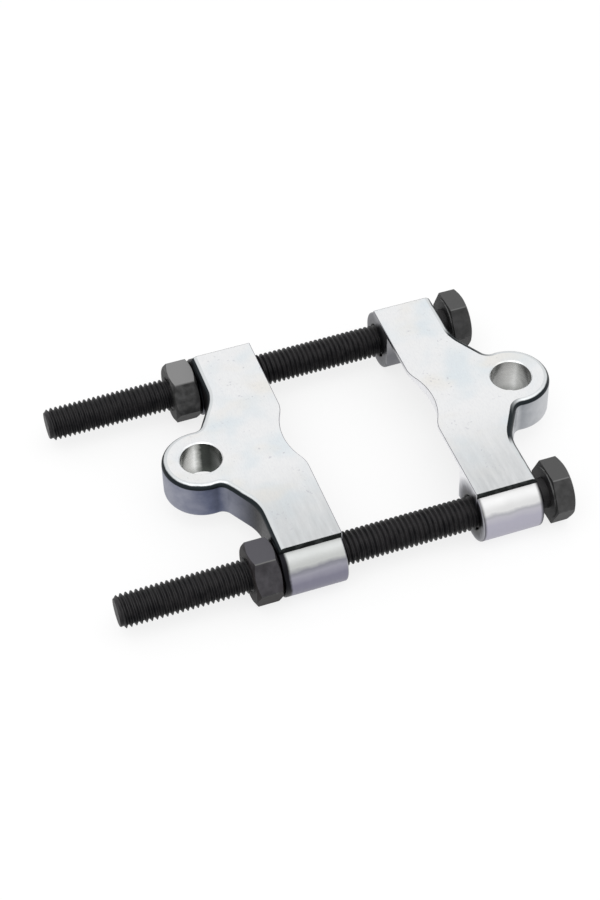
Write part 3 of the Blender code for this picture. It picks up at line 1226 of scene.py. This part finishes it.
        # Bores and the steps above the barrels take the painted black shade
        if from_axis < self.bore_radius + self.bore_chamfer + NEAR and not across:
            return ForgingZone.SHADE_BLACK
        if middle.x < self.notch_depth + 2 * self.edge_break and normal.x < -self.inner_tilt:
            return ForgingZone.INNER_WALL
        bevel_end = normal.y * math.copysign(1.0, middle.y) < -SQUARE_ON
        if bevel_end and side > -self.barrel_radius - self.top_round and middle.z > self.underside:
            return ForgingZone.INNER_WALL
        above_barrel = middle.z > self.top - self.top_round and from_axis > self.barrel_radius
        if above_barrel and side > self.overhang - 2 * self.edge_break:
            return ForgingZone.SHADE_BLACK
        on_round = abs(from_axis - self.barrel_radius) < self.barrel_round and not across
        if on_round and (side > -self.edge_break or middle.z < self.underside):
            return ForgingZone.TURNED_BARREL
        return ForgingZone.FORGED_SKIN

    def build(self, finishes: Finishes) -> None:
        """Model, dress and place the half.

        Args:
            finishes: Material of each kind of surface.
        """
        hand = self.hand.value
        piece = Piece(f"half_{hand}", self.plate())
        for side in (-1, 1):
            piece.shape(Boolean.JOIN, self.on_bolt(self.barrel(), side))
        piece.shape(Boolean.CUT, self.knife_bevel())
        piece.shape(Boolean.CUT, self.lug_hole())
        for side in (-1, 1):
            piece.shape(Boolean.CUT, self.on_bolt(self.bore(), side))
        piece.paint(self.zone, finishes)
        node = f"separator_half_{hand}"
        low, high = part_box(node)
        edge_x = low.x if self.hand is Hand.RIGHT else high.x
        turn = Matrix.Rotation(self.hand.heading, 4, "Z")
        piece.move(Matrix.Translation((edge_x, (low.y + high.y) / 2, low.z)) @ turn)
        piece.finish(f"forged_half_{hand}", f"{hand}_half", node, "plated_steel", self.smooth)


@dataclass
class HexShape:
    """The hexagon that heads and nuts share."""

    across_flats: float = 17.0 * MM
    corners: int = 6
    chamfer_radius: float = 8.1 * MM
    chamfer_angle: float = math.radians(30.0)
    edge_break: float = 0.25 * MM
    edge_segments: int = 3
    end_tilt: float = 0.3
    facet_spread: float = math.radians(5.0)
    smooth: float = math.radians(28.0)
    facets: Facets = Facets(120)
    inner_facets: Facets = Facets(96, math.tau / 300)

    def stock(self, start: float, end: float, turn: float) -> BMesh:
        """Hexagonal bar along X with broken edges.

        Args:
            start: Its left end.
            end: Its right end.
            turn: Angle of a corner from +Y towards +Z.

        Returns:
            The solid.
        """
        reach = self.across_flats / math.sqrt(3.0)
        angles = [turn + index * math.tau / self.corners for index in range(self.corners)]
        outline = [Vector((start, reach * math.cos(a), reach * math.sin(a))) for a in angles]
        bm = prism(outline, Vector((end - start, 0.0, 0.0)))
        along = [e for e in bm.edges if abs(e.verts[0].co.x - e.verts[1].co.x) > NEAR]
        soften(bm, along, self.edge_break, self.edge_segments)
        return bm

    def zone(self, face: BMFace, turn: float) -> HardwareZone:
        """Whether a face of the hexagon is a facet or one of the rubbed edges between two.

        Args:
            face: The face, in axes whose X is the hexagon's axis.
            turn: Angle of a corner from +Y towards +Z.

        Returns:
            Its kind.
        """
        if abs(face.normal.x) > self.end_tilt:
            return HardwareZone.HEXAGON
        step = math.tau / self.corners
        off = (math.atan2(face.normal.z, face.normal.y) - turn) % step - step / 2
        return HardwareZone.RUBBED_EDGE if abs(off) > self.facet_spread else HardwareZone.HEXAGON

    def crown(self, run: float) -> float:
        """Radius of the chamfer's cone at a distance behind the end face."""
        return self.chamfer_radius + run / math.tan(self.chamfer_angle)


@dataclass
class ClampBolt:
    """A long bolt with its thread cut in full and a chamfered hexagon head."""

    turn: float = math.radians(56.0)
    head_height: float = 6.4 * MM
    face_radius: float = 7.8 * MM
    face_height: float = 0.4 * MM
    radius: float = 5.0 * MM
    pitch: float = 1.5 * MM
    thread_depth: float = 0.85 * MM
    flank_angle: float = math.radians(30.0)
    crest_share: float = 1 / 16
    lead: float = 1.5
    spare_turns: int = 2
    neck: float = 2.5 * MM
    neck_rise: float = 0.55
    tip_chamfer: float = 1.1 * MM
    tip_step: float = 0.1 * MM
    tip_reach: float = 1.3
    weld: float = 5 * NEAR
    sides: int = 36
    hexagon: HexShape = field(default_factory=HexShape)

    @property
    def root(self) -> float:
        """Radius at the bottom of the thread."""
        return self.radius - self.thread_depth

    def thread(self, tip: float, seat: float) -> BMesh:
        """The threaded shank as one helical sweep, trimmed flat at both ends.

        Args:
            tip: Position of the bolt's tip along X.
            seat: Position of the head's seat.

        Returns:
            The closed shank about the X axis.
        """
        crest = self.pitch * self.crest_share
        foot = crest + self.thread_depth * math.tan(self.flank_angle)
        start = tip - self.lead * self.pitch
        turns = math.ceil((seat - start) / self.pitch) + self.spare_turns
        tooth = [
            (start - foot, self.root), (start - crest, self.radius), (start + crest, self.radius),
            (start + foot, self.root), (start - foot + self.pitch, self.root),
        ]
        bm = bmesh.new()
        spin(bm, tooth, turns, self.sides, self.pitch)
        bmesh.ops.remove_doubles(bm, verts=bm.verts, dist=self.weld)
        for place, inward in ((tip, -1.0), (seat, 1.0)):
            cut = bmesh.ops.bisect_plane(
                bm, geom=list(bm.verts) + list(bm.edges) + list(bm.faces), dist=NEAR,
                plane_co=(place, 0.0, 0.0), plane_no=(inward, 0.0, 0.0), clear_outer=True,
            )
            rim = [item for item in cut["geom_cut"] if isinstance(item, BMEdge)]
            bmesh.ops.contextual_create(bm, geom=rim)
        self.relieve(bm, tip, seat)
        bmesh.ops.recalc_face_normals(bm, faces=bm.faces)
        return bm

    def relieve(self, bm: BMesh, tip: float, seat: float) -> None:
        """Bring the thread down to a chamfer at the tip and to a plain neck under the head.

        Args:
            bm: The shank.
            tip: Position of the bolt's tip along X.
            seat: Position of the head's seat.
        """
        for vert in bm.verts:
            out = math.hypot(vert.co.y, vert.co.z)
            if out < NEAR:
                continue
            run = vert.co.x - tip
            limit = self.root - self.tip_step + run * self.thread_depth / self.tip_chamfer
            level = min(out, limit) if run < self.tip_chamfer * self.tip_reach else out
            if seat - vert.co.x < self.neck:
                level = self.root + self.thread_depth * self.neck_rise
            vert.co.y *= level / out
            vert.co.z *= level / out

    def blank(self, tip: float, end: float) -> Piece:
        """Model a bolt about the X axis.

        Args:
            tip: Position of its tip along X.
            end: Position of the top of its head.

        Returns:
            The piece, undressed.
        """
        start = end - self.head_height + self.face_height
        seat, inside = start - self.face_height, start + self.face_height
        behind = start - CUTTER_MARGIN
        crown = self.hexagon.crown(end - behind)
        trim = [(behind, 0.0), (behind, crown), (end, self.hexagon.chamfer_radius), (end, 0.0)]
        face = [(seat, 0.0), (seat, self.face_radius), (inside, self.face_radius), (inside, 0.0)]
        piece = Piece("bolt", self.hexagon.stock(start, end + CUTTER_MARGIN, self.turn))
        piece.shape(Boolean.TRIM, turned(trim, self.hexagon.facets))
        piece.shape(Boolean.JOIN, turned(face, self.hexagon.inner_facets))
        return piece.shape(Boolean.JOIN, self.thread(tip, seat + self.face_height / 2))

    def build(self, finishes: Finishes) -> None:
        """Model one bolt, and dress and place it as both.

        Args:
            finishes: Material of each kind of surface.
        """
        low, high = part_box("clamp_bolt_front")
        seat = high.x - self.head_height - NEAR

        def zone(face: BMFace) -> HardwareZone:
            """Whether a face is thread, facet or rubbed edge."""
            in_head = face.calc_center_median().x > seat
            return self.hexagon.zone(face, self.turn) if in_head else HardwareZone.THREAD

        front = self.blank(low.x, high.x)
        front.paint(zone, finishes)
        bm = bmesh.new()
        bm.from_mesh(front.object.data)
        rear = Piece("bolt", bm)
        for material in finishes.values():
            rear.object.data.materials.append(material)
        for side, piece in ((Side.FRONT, front), (Side.REAR, rear)):
            node = f"clamp_bolt_{side.value}"
            low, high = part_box(node)
            middle = (low + high) / 2
            piece.move(Matrix.Translation((0.0, middle.y, middle.z)))
            name, body = f"long_bolt_{side.value}", f"{side.value}_bolt"
            piece.finish(name, body, node, "black_steel", self.hexagon.smooth)


@dataclass
class HexNut:
    """A hexagon nut, chamfered at both ends and countersunk round its thread."""

    side: Side
    turn: float
    hole_radius: float = 5.06 * MM
    countersink: float = 0.45 * MM
    hexagon: HexShape = field(default_factory=HexShape)

    def zone(self, face: BMFace) -> HardwareZone:
        """Whether a face of the nut is thread, facet or rubbed edge.

        Args:
            face: The face.

        Returns:
            Its kind.
        """
        middle = face.calc_center_median()
        if math.hypot(middle.y, middle.z) < self.hole_radius + self.countersink:
            flat = abs(face.normal.x) > LEVEL
            return HardwareZone.HEXAGON if flat else HardwareZone.THREAD
        return self.hexagon.zone(face, self.turn)

    def build(self, finishes: Finishes) -> None:
        """Model, dress and place the nut.

        Args:
            finishes: Material of each kind of surface.
        """
        node = f"hex_nut_{self.side.value}"
        low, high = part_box(node)
        center = (low + high) / 2
        start, end, reach = low.x, high.x, self.hexagon.chamfer_radius
        middle = (start + end) / 2
        crown = self.hexagon.crown(end - middle)
        trim = [(start, 0.0), (start, reach), (middle, crown), (end, reach), (end, 0.0)]
        stock = self.hexagon.stock(start - CUTTER_MARGIN, end + CUTTER_MARGIN, self.turn)
        hole = hole_cutter(
            start, end, self.hole_radius, self.countersink, self.hexagon.inner_facets
        )
        piece = Piece("nut", stock)
        piece.shape(Boolean.TRIM, turned(trim, self.hexagon.facets))
        piece.shape(Boolean.CUT, hole)
        piece.paint(self.zone, finishes)
        piece.move(Matrix.Translation((0.0, center.y, center.z)))
        name, body = f"nut_{self.side.value}", f"{self.side.value}_nut"
        piece.finish(name, body, node, "black_steel", self.hexagon.smooth)


# Studio


@dataclass(frozen=True)
class SoftBox:
    """A square area lamp aimed at the part."""

    name: str
    place: tuple[float, float, float]
    size: float
    power: float

    def build(self, target: Vector) -> None:
        """Make the lamp.

        Args:
            target: Point that it is aimed at.
        """
        lamp = bpy.data.lights.new(self.name, "AREA")
        lamp.shape = "SQUARE"
        lamp.size = self.size
        lamp.energy = self.power
        made = bpy.data.objects.new(self.name, lamp)
        made.location = self.place
        made.rotation_euler = (target - made.location).to_track_quat("-Z", "Y").to_euler()
        bpy.context.scene.collection.objects.link(made)


@dataclass
class Studio:
    """A pale floor, soft lamps, a white surround and the camera."""

    floor_half: float = 3.0
    floor_color: Color = (0.90, 0.90, 0.90)
    floor_roughness: float = 0.9
    white: Color = (1.0, 1.0, 1.0)
    glow_share: float = 0.78
    sky_for_light: float = 0.92
    camera_place: tuple[float, float, float] = (-0.13577, -0.40226, 0.45330)
    camera_turn: tuple[float, float, float] = (43.71737, 1.32624, -19.30879)
    lens: float = 82.117
    nearest: float = 0.01
    target: tuple[float, float, float] = (0.0, 0.0, 0.01)
    lamps: tuple[SoftBox, ...] = (
        SoftBox("key", (-0.38, -0.42, 1.15), 1.1, 5.0),
        SoftBox("fill", (0.55, -0.30, 1.10), 1.1, 2.2),
    )

    def floor(self) -> None:
        """Pale floor that shows nearly white and keeps a soft shadow."""
        bm = bmesh.new()
        bmesh.ops.create_grid(bm, x_segments=1, y_segments=1, size=self.floor_half)
        made = mesh_object("floor", bm)
        shader = Shader("pale_floor")
        pale = {"Base Color": self.floor_color, "Roughness": self.floor_roughness}
        shader.feed(shader.surface, {**pale, "Specular IOR Level": 0.0})
        glow = shader.node("ShaderNodeEmission", {}, {"Color": self.white, "Strength": 1.0})
        share = shader.seen() * self.glow_share
        inputs = {0: share, 1: shader.surface.outputs[0], 2: glow.outputs[0]}
        mixed = shader.node("ShaderNodeMixShader", {}, inputs)
        shader.feed(shader.output, {0: mixed.outputs[0]})
        made.data.materials.append(shader.material)

    def surround(self) -> None:
        """White world, dimmer where it only lights the part."""
        world = bpy.data.worlds.new("white_surround")
        world.use_nodes = True
        bpy.context.scene.world = world
        nodes = Nodes(world.node_tree)
        inputs = {"Value": nodes.seen(), "To Min": self.sky_for_light, "To Max": 1.0}
        strength = nodes.node("ShaderNodeMapRange", {}, inputs).outputs["Result"]
        background = world.node_tree.nodes["Background"]
        nodes.feed(background, {"Color": self.white, "Strength": strength})

    def camera(self) -> None:
        """Camera at the photograph's viewing angle."""
        data = bpy.data.cameras.new("camera")
        data.lens = self.lens
        data.clip_start = self.nearest
        made = bpy.data.objects.new("camera", data)
        made.location = self.camera_place
        made.rotation_euler = Euler([math.radians(a) for a in self.camera_turn], "XYZ")
        bpy.context.scene.collection.objects.link(made)
        bpy.context.scene.camera = made

    def build(self) -> None:
        """Make the whole studio."""
        self.floor()
        self.surround()
        for lamp in self.lamps:
            lamp.build(Vector(self.target))
        self.camera()
        bpy.context.scene.view_settings.view_transform = "Standard"


def main() -> None:
    """Build the dressed separator and its studio."""
    logging.basicConfig(level=logging.INFO, format="%(relativeCreated)6d ms %(name)s: %(message)s")
    forging = {zone: finish.material() for zone, finish in FORGING.items()}
    for hand in Hand:
        ForgedHalf(hand).build(forging)
    thread, rubbed = BLACK_THREAD.material(), RUBBED_EDGE.material()
    hardware = {
        kind: {
            HardwareZone.THREAD: thread,
            HardwareZone.HEXAGON: kind.value.material(),
            HardwareZone.RUBBED_EDGE: rubbed,
        }
        for kind in Hardware
    }
    ClampBolt().build(hardware[Hardware.HEAD])
    HexNut(Side.FRONT, turn=math.radians(56.0)).build(hardware[Hardware.FRONT_NUT])
    HexNut(Side.REAR, turn=math.radians(64.0)).build(hardware[Hardware.REAR_NUT])
    Studio().build()


if __name__ == "__main__":
    main()
